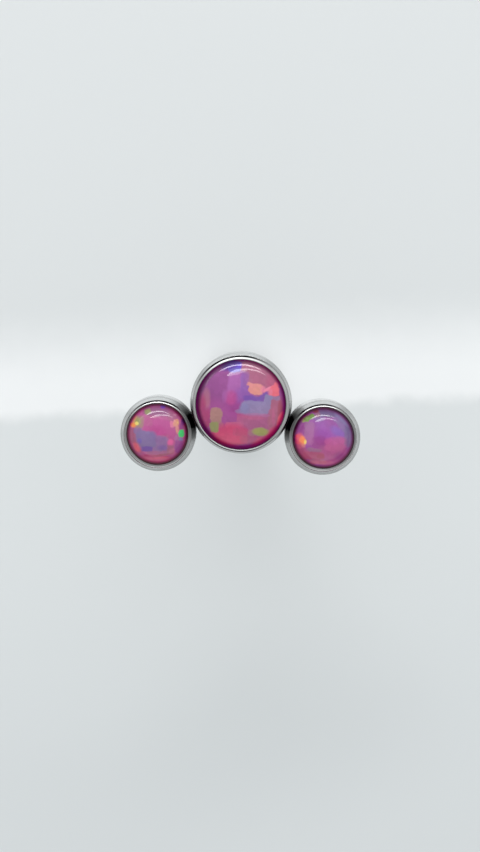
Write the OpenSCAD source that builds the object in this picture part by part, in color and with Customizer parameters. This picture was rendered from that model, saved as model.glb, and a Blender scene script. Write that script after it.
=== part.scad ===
// Labret stud with a curved row of three bezel-set opals on a flat-back post.
// Millimetres. The flat back rests on z = 0, the post stands up the z axis and
// the stones face +Z, with the large stone on the axis and the small ones
// lower down, towards -Y.

/* [Stones] */
// Diameter of the centre stone
centre_stone_d = 3.0; // [2.8:0.1:3.2]
// Rise of the centre stone's dome above its lip
centre_dome_rise = 0.56; // [0.45:0.01:0.7]
// Height of the centre stone from its flat base to the top of its dome
centre_stone_height = 1.6; // [1.4:0.1:1.8]
// Diameter of each side stone
side_stone_d = 2.0; // [1.8:0.1:2.1]
// Rise of a side stone's dome above its lip
side_dome_rise = 0.52; // [0.35:0.01:0.55]
// Height of a side stone from its flat base to the top of its dome
side_stone_height = 1.2; // [1.0:0.1:1.4]

/* [Setting] */
// Outside diameter of the centre bezel
centre_bezel_d = 3.32; // [3.3:0.02:3.5]
// Height of the centre bezel from its back to its lip
centre_bezel_height = 1.85; // [1.7:0.05:2.1]
// Drop from the centre lip's foot to the shoulder of its wall
centre_bevel_drop = 0.4; // [0.3:0.05:0.6]
// Outside diameter of each side bezel
side_bezel_d = 2.48; // [2.4:0.02:2.6]
// Height of a side bezel from its back to its lip
side_bezel_height = 1.5; // [1.4:0.05:1.7]
// Drop from a side lip's foot to the shoulder of its wall
side_bevel_drop = 0.4; // [0.2:0.05:0.5]
// Free gap between neighbouring bezels, which the solder bridge closes
bezel_spacing = 0.02; // [0.01:0.01:0.05]
// Angle of each side bezel below the centre bezel's level
row_angle = 22; // [15:1:30]
// Width of the solder bridge between two bezels
bridge_width = 0.56; // [0.4:0.02:0.7]
// Depth of the bridge's top below the side lip
bridge_drop = 0.55; // [0.5:0.05:0.7]

/* [Labret post] */
// Diameter of the post, 16 gauge
post_d = 1.2; // [1.0:0.1:1.3]
// Wearable length between the flat back and the setting
post_length = 6; // [5:0.5:8]
// Diameter of the flat back
disc_d = 3.0; // [2.8:0.1:4]
// Thickness of the flat back
disc_thickness = 0.6; // [0.5:0.05:0.8]
// Diameter of the pin that holds the setting in the post
pin_d = 0.7; // [0.6:0.05:0.8]
// Length of that pin
pin_length = 3; // [2:0.5:3.5]

/* [Hidden] */
$fn = 96;

// Play between two pieces that touch
gap = 0.015;
// Share of its radius that the lip covers on the centre stone and on a side stone
centre_lip_cover = 0.04;
side_lip_cover = 0.02;
// Width of a lip's rounded bead, and the step down from it to the bevel
lip_width = 0.1;
lip_step = 0.04;
// Rounding of a bezel's shoulder and of its back edge
shoulder_round = 0.05;
back_round = 0.12;
// Roundings of the flat back's two rims and of the post's foot
disc_back_round = 0.1;
disc_front_round = 0.35;
foot_fillet = 0.08;
// Bevel round the mouth of the post
mouth_bevel = 0.06;
// Free depth below the end of the pin
pin_end_room = 0.2;
// How far a solder bridge runs into each wall
bridge_bite = 0.08;

setting_z = disc_thickness + post_length;
side_distance = (centre_bezel_d + side_bezel_d) / 2 + bezel_spacing;
side_x = side_distance * cos(row_angle);
side_y = -side_distance * sin(row_angle);

// Radii of the circles in which the stones meet their lips
centre_edge_r = centre_stone_d / 2 * (1 - centre_lip_cover);
side_edge_r = side_stone_d / 2 * (1 - side_lip_cover);

// Radius of a dome that rises by rise over a circle of radius edge_r
function dome_radius(edge_r, rise) = (edge_r * edge_r + rise * rise) / (2 * rise);

// Points of an arc about [x, y] from angle a0 to a1 in steps equal pieces
function arc(x, y, r, a0, a1, steps = 4) =
    [for (i = [0 : steps]) let (a = a0 + (a1 - a0) * i / steps) [x + r * cos(a), y + r * sin(a)]];

// Solid under a dome, a round slab with a spherical top, grown by grow all round.
// Its lip circle, where the visible dome starts, lies at z = 0.
module domed_slab(stone_d, edge_r, rise, height, grow = 0) {
    dome_r = dome_radius(edge_r, rise);
    intersection() {
        translate([0, 0, rise - height - grow])
            cylinder(d = stone_d + 2 * grow, h = height + 2 * grow);
        translate([0, 0, rise - dome_r])
            sphere(r = dome_r + grow);
    }
}

// Outer form of one bezel cup, with its back at z = 0 and its lip at z = height
module cup_blank(edge_r, bezel_d, height, bevel_drop) {
    outer_r = bezel_d / 2;
    lip_r = edge_r + lip_width;
    bevel_top = height - lip_step;
    bevel_lean = atan2(outer_r - lip_r, bevel_drop);
    rotate_extrude()
        polygon(concat(
            [[0, 0]],
            arc(outer_r - back_round, back_round, back_round, -90, 0),
            arc(outer_r - shoulder_round, bevel_top - bevel_drop, shoulder_round, 0, bevel_lean, 3),
            [[lip_r, bevel_top], [lip_r - lip_width / 4, height], [0, height]]
        ));
}

// One closed cup with the room for its stone sunk into it
module bezel_cup(stone_d, edge_r, rise, stone_height, bezel_d, height, bevel_drop) {
    difference() {
        cup_blank(edge_r, bezel_d, height, bevel_drop);
        translate([0, 0, height])
            domed_slab(stone_d, edge_r, rise, stone_height, gap);
    }
}

module centre_cup() {
    bezel_cup(centre_stone_d, centre_edge_r, centre_dome_rise, centre_stone_height,
              centre_bezel_d, centre_bezel_height, centre_bevel_drop);
}

module side_cup() {
    bezel_cup(side_stone_d, side_edge_r, side_dome_rise, side_stone_height,
              side_bezel_d, side_bezel_height, side_bevel_drop);
}

// Solder bridge along +X from the centre cup's wall into a side cup's wall
module bridge() {
    reach = bridge_width * bridge_width / 8 * (2 / centre_bezel_d + 2 / side_bezel_d);
    start = centre_bezel_d / 2 - bridge_bite - reach;
    length = bezel_spacing + 2 * bridge_bite + 2 * reach;
    translate([start, -bridge_width / 2, back_round])
        cube([length, bridge_width, side_bezel_height - bridge_drop - back_round]);
}

// The three cups, their two bridges and the pin behind them, one piece of metal
module setting() {
    color("silver")
        translate([0, 0, setting_z]) {
            centre_cup();
            for (side = [-1, 1])
                translate([side * side_x, side_y, 0])
                    side_cup();
            rotate([0, 0, -row_angle])
                bridge();
            rotate([0, 0, 180 + row_angle])
                bridge();
            translate([0, 0, -pin_length])
                cylinder(d = pin_d, h = pin_length + back_round);
        }
}

module opal_centre() {
    color("orchid")
        translate([0, 0, setting_z + centre_bezel_height])
            domed_slab(centre_stone_d, centre_edge_r, centre_dome_rise, centre_stone_height);
}

// A side opal, on the left for side = -1 and on the right for side = 1
module opal_side(side) {
    color("mediumorchid")
        translate([side * side_x, side_y, setting_z + side_bezel_height])
            domed_slab(side_stone_d, side_edge_r, side_dome_rise, side_stone_height);
}

// Flat back and hollow post, turned in one piece
module labret_post() {
    disc_r = disc_d / 2;
    post_r = post_d / 2;
    top = setting_z - gap;
    color("gainsboro")
        difference() {
            rotate_extrude()
                polygon(concat(
                    [[0, 0]],
                    arc(disc_r - disc_back_round, disc_back_round, disc_back_round, -90, 0),
                    arc(disc_r - disc_front_round, disc_thickness - disc_front_round,
                        disc_front_round, 0, 90, 6),
                    arc(post_r + foot_fillet, disc_thickness + foot_fillet, foot_fillet, 270, 180),
                    [[post_r, top - mouth_bevel], [post_r - mouth_bevel, top], [0, top]]
                ));
            translate([0, 0, setting_z - pin_length - pin_end_room])
                cylinder(d = pin_d + 2 * gap, h = pin_length + 2 * pin_end_room);
        }
}

setting();
opal_centre();
opal_side(-1);  // opal_left
opal_side(1);  // opal_right
labret_post();
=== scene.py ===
# %% [markdown]
# # A labret stud with a curved row of three opals
#
# A labret stud is worn through a lip or an ear: a flat back and a hollow post stay inside, and a
# jewelled end is pushed into the post by a pin. This one carries a large round opal between two
# small ones. The lesson builds the finish of every piece around a packed CAD model, which gives
# their places. Everything is worked out in millimetres, because the stud is only nine high, and is
# turned into Blender's metres where it enters a mesh or a node.

# %% Load the packed model
import math

import bpy
import numpy as np
from mathutils import Matrix, Vector


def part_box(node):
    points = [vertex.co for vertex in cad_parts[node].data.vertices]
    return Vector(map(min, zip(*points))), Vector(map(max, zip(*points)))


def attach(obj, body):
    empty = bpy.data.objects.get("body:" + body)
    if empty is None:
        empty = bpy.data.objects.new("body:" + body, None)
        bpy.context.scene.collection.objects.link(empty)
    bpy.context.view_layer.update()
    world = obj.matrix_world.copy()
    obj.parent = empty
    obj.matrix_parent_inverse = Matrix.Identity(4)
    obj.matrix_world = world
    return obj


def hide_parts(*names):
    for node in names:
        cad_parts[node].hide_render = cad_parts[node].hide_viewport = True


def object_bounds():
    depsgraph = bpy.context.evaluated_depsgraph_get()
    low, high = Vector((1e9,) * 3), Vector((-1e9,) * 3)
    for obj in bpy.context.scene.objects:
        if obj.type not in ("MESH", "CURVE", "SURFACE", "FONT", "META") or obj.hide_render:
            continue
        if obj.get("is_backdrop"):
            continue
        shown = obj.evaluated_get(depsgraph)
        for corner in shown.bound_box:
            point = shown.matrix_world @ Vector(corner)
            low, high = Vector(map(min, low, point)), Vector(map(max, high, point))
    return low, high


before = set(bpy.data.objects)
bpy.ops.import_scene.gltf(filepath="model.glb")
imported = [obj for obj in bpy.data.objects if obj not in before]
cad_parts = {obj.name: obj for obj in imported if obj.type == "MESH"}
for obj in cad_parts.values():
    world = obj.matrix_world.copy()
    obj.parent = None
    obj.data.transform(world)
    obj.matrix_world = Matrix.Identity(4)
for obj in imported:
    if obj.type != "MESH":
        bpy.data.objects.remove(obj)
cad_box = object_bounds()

MM = 0.001


def node_box(node):
    """The lowest and the highest corner of a CAD node, in millimetres."""
    low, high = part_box(node)
    return np.array(low) / MM, np.array(high) / MM


for node in sorted(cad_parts):
    low, high = node_box(node)
    print(f"{node}: {np.round(high - low, 2)} mm, from z {low[2]:.2f} to {high[2]:.2f}")

# %% [markdown]
# ## Where the three stones sit
#
# A cabochon is a stone with a flat base and a polished dome. Its box in the CAD model gives its
# axis and its radius. The dome's rise above the metal lip is a driving size of its own, and the
# lip's height follows from it, so each stone and its cup can share one short record of sizes.

# %% Sizes of the stones
def by_stone(centre, side):
    """A value for each stone: one for the centre stone, and one that the side stones share."""
    return {"opal_centre": centre, "opal_left": side, "opal_right": side}


DOME_RISE = by_stone(0.56, 0.52)
LIP_COVER = by_stone(0.04, 0.012)
PLAY = 0.015


def stone_sizes(node):
    """Axis, radius and heights of one stone. A spherical dome that rises by h over a circle of
    radius e has the radius (e squared + h squared) / 2h."""
    low, high = node_box(node)
    radius = (high[0] - low[0]) / 2
    edge = radius * (1 - LIP_COVER[node])
    rise = DOME_RISE[node]
    return {
        "axis": (low[:2] + high[:2]) / 2,
        "radius": radius,
        "edge": edge,
        "rise": rise,
        "dome": (edge**2 + rise**2) / (2 * rise),
        "base": low[2],
        "lip": high[2] - rise,
    }


stones = {node: stone_sizes(node) for node in DOME_RISE}
for node, stone in stones.items():
    sizes = [round(float(stone[size]), 3) for size in ("radius", "dome", "lip")]
    print(f"{node}: radius, radius of the dome and height of the lip {sizes} mm")

# %% [markdown]
# ## The camera
#
# The picture looks straight down on the stones from about 50 mm, leaning a few degrees to the far
# side, so that the far walls of the cups just show. The lens follows from the scale: so many
# pixels to a millimetre at that distance. The camera is also turned a little, and the row seems to
# sink to the right. Shift and depth of field stay off.

# %% Place the camera
PICTURE = (480, 852)
PIXELS_PER_MM = 30.9
SENSOR = 36.0
DISTANCE = 50.0
LEAN = math.radians(4.2)
ROLL = math.radians(1.32)
CENTRE_STONE_PIXEL = (241.1, 403.65)
CLIP_NEAR = 1.0
CLIP_FAR = 10000.0

lip_centre = np.array([*stones["opal_centre"]["axis"], stones["opal_centre"]["lip"]])
backwards = np.array([0, math.sin(LEAN), math.cos(LEAN)])
level = np.array([1.0, 0, 0])
steep = np.cross(backwards, level)
right = level * math.cos(ROLL) + steep * math.sin(ROLL)
up = np.cross(backwards, right)

aim = lip_centre.copy()
aim -= right * (CENTRE_STONE_PIXEL[0] - PICTURE[0] / 2) / PIXELS_PER_MM
aim -= up * (PICTURE[1] / 2 - CENTRE_STONE_PIXEL[1]) / PIXELS_PER_MM
eye = aim + backwards * DISTANCE


def pixel(point):
    """Where a point in millimetres lands in the picture: its place across and up, seen from the
    eye, divided by its depth."""
    across, rise, depth = (np.dot(point - eye, axis) for axis in (right, up, -backwards))
    scale = PIXELS_PER_MM * DISTANCE / depth
    return PICTURE[0] / 2 + across * scale, PICTURE[1] / 2 - rise * scale


camera_data = bpy.data.cameras.new("camera")
camera_data.sensor_width = SENSOR
camera_data.lens = SENSOR * PIXELS_PER_MM * DISTANCE / max(PICTURE)
camera_data.clip_start = CLIP_NEAR * MM
camera_data.clip_end = CLIP_FAR * MM
camera = bpy.data.objects.new("camera", camera_data)
turned_axes = Matrix([right, up, backwards]).transposed().to_4x4()
camera.matrix_world = Matrix.Translation(Vector(eye * MM)) @ turned_axes
bpy.context.scene.collection.objects.link(camera)
bpy.context.scene.camera = camera
for node, stone in stones.items():
    across, down = pixel(np.array([*stone["axis"], stone["lip"]]))
    print(f"{node} lands at pixel ({across:.1f}, {down:.1f}), lens {camera_data.lens:.1f} mm")

# %% [markdown]
# ## The room
#
# Polished metal and glassy stones show what stands round them, so the studio is drawn for its
# reflections. The room is pale, brighter towards the far side and low down on the near side.
# Overhead it is darker, because the camera's own body is there, and the horizon is dark, which
# keeps the stones' rims deep. A world's colour could come from a picture of a studio, but a few
# smooth steps over the direction need no picture. The view transform is Standard, which leaves a
# mid grey where it is and keeps the opals' pinks pure.

# %% Light the room
scene = bpy.context.scene
scene.view_settings.view_transform = "Standard"

ROOM = 0.81
FAR_SIDE_GAIN = 0.55
NEAR_SIDE_GAIN = 0.8
OVERHEAD_SHARE = 0.3
HORIZON_SHARE = 0.08
ROOM_TINT = (0.97, 1.0, 1.01, 1)
# Each step: the part of the direction that it follows, its start and end, and its shares there
ROOM_STEPS = [
    ("Y", -0.2, 0.9, ROOM, ROOM * (1 + FAR_SIDE_GAIN)),
    ("Y", -0.7, -0.95, 1, 1 + NEAR_SIDE_GAIN),
    ("Z", 0.82, 0.97, 1, OVERHEAD_SHARE),
    ("Z", 0.1, 0.24, HORIZON_SHARE, 1),
]


def link(tree, source, target):
    tree.links.new(source, target)


world = bpy.data.worlds.new("pale studio")
world.use_nodes = True
scene.world = world
sky = world.node_tree
direction = sky.nodes.new("ShaderNodeTexCoord").outputs["Generated"]
parts = sky.nodes.new("ShaderNodeSeparateXYZ")
link(sky, direction, parts.inputs[0])


def sky_ramp(value, start, end, low, high):
    """A smooth step from low to high while value goes from start to end."""
    ramp = sky.nodes.new("ShaderNodeMapRange")
    ramp.interpolation_type = "SMOOTHSTEP"
    for name, number in zip(("From Min", "From Max", "To Min", "To Max"), (start, end, low, high)):
        ramp.inputs[name].default_value = number
    link(sky, value, ramp.inputs["Value"])
    return ramp.outputs[0]


strength, *shares = [sky_ramp(parts.outputs[part], *numbers) for part, *numbers in ROOM_STEPS]
for share in shares:
    product = sky.nodes.new("ShaderNodeMath")
    product.operation = "MULTIPLY"
    link(sky, strength, product.inputs[0])
    link(sky, share, product.inputs[1])
    strength = product.outputs[0]
link(sky, strength, sky.nodes["Background"].inputs["Strength"])
sky.nodes["Background"].inputs["Color"].default_value = ROOM_TINT
print(f"room: light {ROOM}, times {OVERHEAD_SHARE} overhead and {HORIZON_SHARE} at the horizon")

# %% [markdown]
# ## The lamps
#
# Two curved lamps on the far side draw the two bright arcs on every dome, a third widens the
# inner arc, and a short one on either side draws a faint trail at the arcs' ends. Area lamps are
# flat, so a lamp here is a glowing ribbon, bent round the stud. The camera doesn't see it: only
# its reflections show.

# %% Hang the lamps
LAMP_DISTANCE = 150.0
LAMP_STEPS = 40


def towards(azimuth, polar):
    """The direction at azimuth degrees from +X and polar degrees from straight up."""
    a, p = np.radians(azimuth), np.radians(polar)
    return np.sin(p) * np.cos(a), np.sin(p) * np.sin(a), np.cos(p)


def lamp(name, path, brightness):
    """A glowing ribbon round the stud. Its path is a few rows of azimuth, polar angle and half
    width, all in degrees. Between two rows the last two change evenly with the azimuth."""
    azimuth, polar, half = np.array(path).T
    along = np.linspace(azimuth[0], azimuth[-1], LAMP_STEPS)
    order = np.argsort(azimuth)
    polar, half = (np.interp(along, azimuth[order], row[order]) for row in (polar, half))
    edges = [np.stack(towards(along, polar + side * half), axis=1) for side in (-1, 1)]
    vertices = lip_centre + LAMP_DISTANCE * np.concatenate(edges)
    here = np.arange(LAMP_STEPS - 1)
    faces = np.stack([here, here + 1, here + 1 + LAMP_STEPS, here + LAMP_STEPS], axis=1)
    mesh = bpy.data.meshes.new(name)
    mesh.from_pydata((vertices * MM).tolist(), [], faces.tolist())
    glow = bpy.data.materials.new(name)
    glow.use_nodes = True
    tree = glow.node_tree
    emission = tree.nodes.new("ShaderNodeEmission")
    emission.inputs["Strength"].default_value = brightness
    link(tree, emission.outputs[0], tree.nodes["Material Output"].inputs["Surface"])
    tree.nodes.remove(tree.nodes["Principled BSDF"])
    mesh.materials.append(glow)
    ribbon = bpy.data.objects.new(name, mesh)
    ribbon.visible_camera = False
    scene.collection.objects.link(ribbon)
    ribbon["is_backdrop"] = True
    print(f"{name}: {abs(along[-1] - along[0]):.0f} degrees long, up to {2 * half.max():.1f} wide")


lamp("outer lamp", [(126, 72.2, 0.3), (118, 72.4, 1.4), (77, 73, 1.4), (59, 74, 0.4)], 14)
INNER_FAR_END = [(118, 57, 0.9), (108, 59.2, 2.2), (98, 61.6, 2.6)]
INNER_NEAR_END = [(86, 63.4, 1.9), (67, 67.6, 1.2), (49, 71, 0.4)]
lamp("inner lamp", INNER_FAR_END + INNER_NEAR_END, 11)
lamp("inner glow", [(116, 54.4, 0.5), (104, 55.9, 2.8), (94, 56.9, 2.8), (80, 60.8, 0.4)], 6)
lamp("side lamp", [(157, 74.6, 0.5), (146, 75.4, 1.2), (133, 75.8, 0.4)], 3.4)
lamp("corner lamp", [(45, 69.7, 0.4), (32, 69.4, 1.0), (14, 68.4, 0.4)], 2)

# %% [markdown]
# ## The floor
#
# The stud stands on a plain board that fills the camera's view, though from low down its far edge
# shows. One quad is enough, because nothing bends it and its finish needs no points between. It is
# declared as part of the stage, and gets its finish last.

# %% Lay the floor
FLOOR_SIZE = 600.0
floor_mesh = bpy.data.meshes.new("floor")
corner = FLOOR_SIZE / 2 * MM
floor_mesh.from_pydata(
    [(-corner, -corner, 0), (corner, -corner, 0), (corner, corner, 0), (-corner, corner, 0)],
    [],
    [(0, 1, 2, 3)],
)
floor = bpy.data.objects.new("floor", floor_mesh)
scene.collection.objects.link(floor)
floor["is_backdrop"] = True
print(f"floor: {FLOOR_SIZE:.0f} mm square")

# %% [markdown]
# ## Profiles
#
# Nearly every piece of the stud is turned, so its shape is a profile carried round an axis. A
# Bevel modifier could round its edges, but each has a rounding of its own, some of only a few
# thousandths of a millimetre. So a profile is written as a few corners with a rounding each, and
# one function replaces the corners by arcs and fills the straights with points.

# %% Round a profile
ARC_STEP = math.radians(11)


def rounded(corners, spacing):
    """Points along a line through corners (across, up, rounding). A rounding r at a turn t is an
    arc of radius r that starts r tan(t / 2) before the corner and ends as far behind it. The
    straights get points no more than spacing apart."""
    corners = np.array(corners, float)
    line = [corners[:1, :2]]
    for before, corner, after in zip(corners, corners[1:], corners[2:]):
        point, radius = corner[:2], corner[2]
        come = (point - before[:2]) / np.linalg.norm(point - before[:2])
        leave = (after[:2] - point) / np.linalg.norm(after[:2] - point)
        turn = math.atan2(come[0] * leave[1] - come[1] * leave[0], come @ leave)
        if radius == 0:
            line.append(point[None])
            continue
        start = point - come * radius * math.tan(abs(turn) / 2)
        inwards = np.array([-come[1], come[0]]) * math.copysign(radius, turn)
        swing = np.linspace(0, turn, math.ceil(abs(turn) / ARC_STEP) + 1)[:, None]
        spoke = -inwards * np.cos(swing) - np.array([-inwards[1], inwards[0]]) * np.sin(swing)
        line.append(start + inwards + spoke)
    line = np.concatenate([*line, corners[-1:, :2]])
    moves = np.diff(line, axis=0)
    parts = np.maximum(1, np.ceil(np.linalg.norm(moves, axis=1) / spacing)).astype(int)
    place = np.arange(parts.sum()) - np.repeat(np.cumsum(parts) - parts, parts)
    share = place / np.repeat(parts, parts)
    filled = np.repeat(line[:-1], parts, axis=0) + np.repeat(moves, parts, axis=0) * share[:, None]
    return np.concatenate([filled, line[-1:]])


example = rounded([(0, 0, 0), (1, 0, 0.2), (1, 1, 0)], 0.5)
print(f"a square corner with a rounding becomes {len(example)} points")

# %% [markdown]
# ## From a profile to a solid
#
# A turned solid is a stack of rings with a pole at either end, and so is a cast bar. One function
# sews such a stack: quads between the rings and a fan of triangles round each pole, with every
# face looking outwards. What it returns is watertight, which the Boolean union needs later. A
# Screw modifier carries a profile round too, but here the axis may drift from ring to ring, as in
# a mouth that was opened by hand. The rings are whole arrays, and no loop runs over their points.

# %% Sew rings into a solid
def sewn(rings, poles):
    """A closed solid from an array of rings with equally many points, and its two poles. Point j
    of ring i makes a quad with point j + 1 and with the same two points of ring i + 1."""
    count, steps = rings.shape[:2]
    here = np.arange(steps)
    ahead = (here + 1) % steps
    row = np.arange(count - 1)[:, None] * steps
    quads = np.stack([row + here, row + ahead, row + ahead + steps, row + here + steps], axis=-1)
    first, last = np.full(steps, count * steps), np.full(steps, count * steps + 1)
    top = (count - 1) * steps
    fans = np.concatenate([
        np.stack([first, ahead, here], axis=-1),
        np.stack([last, top + here, top + ahead], axis=-1),
    ])
    vertices = np.concatenate([rings.reshape(-1, 3), poles])
    return vertices, quads.reshape(-1, 4).tolist() + fans.tolist()


def turned(profile, axis, steps):
    """A closed solid of revolution: a profile point (r, z) at the angle a lands at
    (x + r cos a, y + r sin a, z), and its two ends on the axis become the poles. The axis is one
    point (x, y), or one for each point of the profile."""
    axis = np.broadcast_to(axis, (len(profile), 2))
    angle = np.arange(steps) * 2 * math.pi / steps
    x = axis[1:-1, :1] + np.outer(profile[1:-1, 0], np.cos(angle))
    y = axis[1:-1, 1:] + np.outer(profile[1:-1, 0], np.sin(angle))
    z = np.repeat(profile[1:-1, 1:], steps, axis=1)
    return sewn(np.stack([x, y, z], axis=-1), np.column_stack([axis, profile[:, 1]])[[0, -1]])


def solid(name, vertices, faces):
    """A smooth-shaded object from points in millimetres."""
    mesh = bpy.data.meshes.new(name)
    mesh.from_pydata((vertices * MM).tolist(), [], faces)
    mesh.shade_smooth()
    made = bpy.data.objects.new(name, mesh)
    scene.collection.objects.link(made)
    return made


def triangles(thing):
    return sum(len(face.vertices) - 2 for face in thing.data.polygons)


vertices, faces = turned(example, (0, 0), 8)
print(f"carried round in 8 steps it has {len(vertices)} vertices and {len(faces)} faces")

# %% [markdown]
# ## The bezel cups
#
# A bezel is a thin wall of metal pushed over the edge of a stone. From inside out its top is a
# round bead against the stone, a fine groove that the burnisher leaves at the bead's foot, and a
# steep bevel down to the shoulder of an upright wall. The bead and the groove are narrower than a
# tenth of a millimetre, and the picture lives by them: the bead draws the white line round each
# stone, and the groove the dark one beside it. So both are real shape here, and not bump. The
# stones were set by hand, so each mouth, with the stone in it, lies a little off its cup's axis.

# %% Turn the three cups
# The bead, from its foot over its crest to the face that lies against the dome
BEAD_WIDTH = by_stone(0.084, 0.077)
BEAD_SLOPE = by_stone(30.0, 37.0)
FOOT_ROUND = 0.008
CREST_PLACE = 0.018
CREST_DROP = 0.008
CREST_ROUND = 0.02
LIP_PLAY = 0.006
LIP_FACE = 0.014
# The stone's pocket
THROAT_DROP = 0.06
POCKET_ROUND = 0.02
# The groove, the bevel with its scored line, and the wall
GROOVE_WIDTH = 0.044
GROOVE_DEPTH = 0.014
GROOVE_ROUND = 0.004
BEVEL_STEP = 0.03
BEVEL_DROP = 0.4
BEVEL_ROUND = 0.006
SCORE_PLACE = 0.75
SCORE_WIDTH = 0.02
SCORE_DEPTH = 0.01
SCORE_ROUND = 0.004
SHOULDER_ROUND = 0.05
BACK_ROUND = 0.12
# How far each mouth lies off its cup's axis. That holds out to a share of the bead's width, and
# has faded out where the bevel starts.
MOUTH_SHARE = 0.7
OFF_CENTRE = {
    "opal_centre": (-0.01, -0.032),
    "opal_left": (-0.003, 0.019),
    "opal_right": (0.005, 0.018),
}
CUP_SPACING = 0.045
CUP_STEPS = by_stone(208, 160)

setting_low, setting_high = node_box("setting")
cup_back = node_box("labret_post")[1][2] + PLAY


def cup_radius(node):
    """The centre cup reaches furthest along +Y and a side cup along +X, as the frame says."""
    if node == "opal_centre":
        return setting_high[1] - stones[node]["axis"][1]
    return setting_high[0] - abs(stones[node]["axis"][0])


def dome_reach(stone, drop):
    """Radius of a sphere that stays LIP_PLAY clear of the dome, drop below the lip."""
    above_centre = stone["dome"] - stone["rise"] - drop
    return math.sqrt((stone["dome"] + LIP_PLAY) ** 2 - above_centre**2)


def cup_profile(node):
    """From the middle of the back out and up the wall, over the score, the groove and the bead,
    and down into the stone's pocket."""
    stone = stones[node]
    outer, lip = cup_radius(node), stone["lip"]
    bead_out = stone["edge"] + BEAD_WIDTH[node]
    crest = dome_reach(stone, CREST_DROP) + CREST_PLACE
    bead_foot = lip - (bead_out - crest) * math.tan(math.radians(BEAD_SLOPE[node]))
    shoulder = np.array([outer, lip - BEVEL_STEP - BEVEL_DROP])
    bevel_top = np.array([bead_out + GROOVE_WIDTH, lip - BEVEL_STEP])
    score = bevel_top + (shoulder - bevel_top) * SCORE_PLACE
    step = (bevel_top - shoulder) / np.linalg.norm(bevel_top - shoulder) * SCORE_WIDTH / 2
    room = stone["radius"] + PLAY
    return rounded(
        [
            (0, cup_back, 0),
            (outer, cup_back, BACK_ROUND),
            (*shoulder, SHOULDER_ROUND),
            (*(score - step), SCORE_ROUND),
            (score[0] - SCORE_DEPTH, score[1], SCORE_ROUND / 2),
            (*(score + step), SCORE_ROUND),
            (*bevel_top, BEVEL_ROUND),
            (bead_out + GROOVE_WIDTH / 2, bead_foot - GROOVE_DEPTH, GROOVE_ROUND),
            (bead_out, bead_foot, FOOT_ROUND),
            (crest, lip, CREST_ROUND),
            (dome_reach(stone, LIP_FACE), lip - LIP_FACE, 0),
            (room, lip - THROAT_DROP, 0),
            (room, stone["base"] - PLAY, POCKET_ROUND),
            (0, stone["base"] - PLAY, 0),
        ],
        CUP_SPACING,
    )


cups = {}
for node, stone in stones.items():
    profile = cup_profile(node)
    mouth = stone["edge"] + BEAD_WIDTH[node] * MOUTH_SHARE
    bevel = stone["edge"] + BEAD_WIDTH[node] + GROOVE_WIDTH
    follows = np.interp(profile[:, 0], (mouth, bevel), (1, 0))
    follows *= profile[:, 1] > cup_back + BACK_ROUND
    centres = stone["axis"] + np.outer(follows, OFF_CENTRE[node])
    cups[node] = solid("cup_" + node, *turned(profile, centres, CUP_STEPS[node]))
    print(f"cup of {node}: {len(profile)} profile points, {triangles(cups[node])} triangles")

# %% [markdown]
# ## Solder bridges and pin
#
# The side cups touch the centre cup along a line too thin to hold. Solder is run into the narrow
# wedge between the walls and sets with hollow faces, wider and higher where it meets each wall.
# That is a bar along the line between two axes whose section is a rounded square, and whose size
# grows with the square of the distance from its waist. A remesh would melt the parts together
# too, but it would blur the fine beads. The pin is a plain turned bar.

# %% Cast the bridges and turn the pin
BRIDGE_WIDTH = 0.56
BRIDGE_DROP = 0.55
BRIDGE_BITE = 0.08
BRIDGE_FLARE = 0.16
BRIDGE_ROWS = 25
BRIDGE_STEPS = 64
PIN_ROUND = 0.12
PIN_RADIUS = 0.35
PIN_SPACING = 0.15
PIN_STEPS = 96


def bridge(node):
    """A bar from the centre cup into a side cup. At the place t from -1 to 1 along it and the
    angle a round it, its section is (w cos a, h sin a) with both parts raised to a half power,
    which squares an ellipse off, and w and h grow by BRIDGE_FLARE t squared."""
    start, end = stones["opal_centre"]["axis"], stones[node]["axis"]
    along = (end - start) / np.linalg.norm(end - start)
    across = np.array([-along[1], along[0]])
    centre_wall, side_wall = cup_radius("opal_centre"), cup_radius(node)
    wedge = BRIDGE_WIDTH**2 / 8 * (1 / centre_wall + 1 / side_wall)
    near = centre_wall - BRIDGE_BITE - wedge
    far = np.linalg.norm(end - start) - side_wall + BRIDGE_BITE + wedge
    low, high = cup_back + BACK_ROUND, stones[node]["lip"] - BRIDGE_DROP
    t = np.linspace(-1, 1, BRIDGE_ROWS)[:, None]
    angle = (np.arange(BRIDGE_STEPS) * 2 * math.pi / BRIDGE_STEPS)[None]
    swell = 1 - BRIDGE_FLARE * (1 - t**2)
    squared = [np.sign(f) * np.abs(f) ** 0.5 for f in (np.cos(angle), np.sin(angle))]
    side = BRIDGE_WIDTH / 2 * swell * squared[0]
    height = (high + low) / 2 + (high - low) / 2 * swell * squared[1]
    reach = np.broadcast_to((near + far) / 2 + (far - near) / 2 * t, side.shape)
    flat = start + reach[..., None] * along + side[..., None] * across
    rings = np.concatenate([flat, height[..., None]], axis=-1)
    poles = [[*(start + along * place), (high + low) / 2] for place in (near, far)]
    return sewn(rings, poles)


bridges = [solid("bridge_" + node, *bridge(node)) for node in ("opal_left", "opal_right")]
pin_profile = rounded(
    [
        (0, setting_low[2], 0),
        (PIN_RADIUS, setting_low[2], PIN_ROUND),
        (PIN_RADIUS, cup_back + BACK_ROUND, 0),
        (0, cup_back + BACK_ROUND, 0),
    ],
    PIN_SPACING,
)
pin = solid("pin", *turned(pin_profile, (0, 0), PIN_STEPS))
print(f"bridges of {triangles(bridges[0])} triangles each, pin of {triangles(pin)}")

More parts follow.
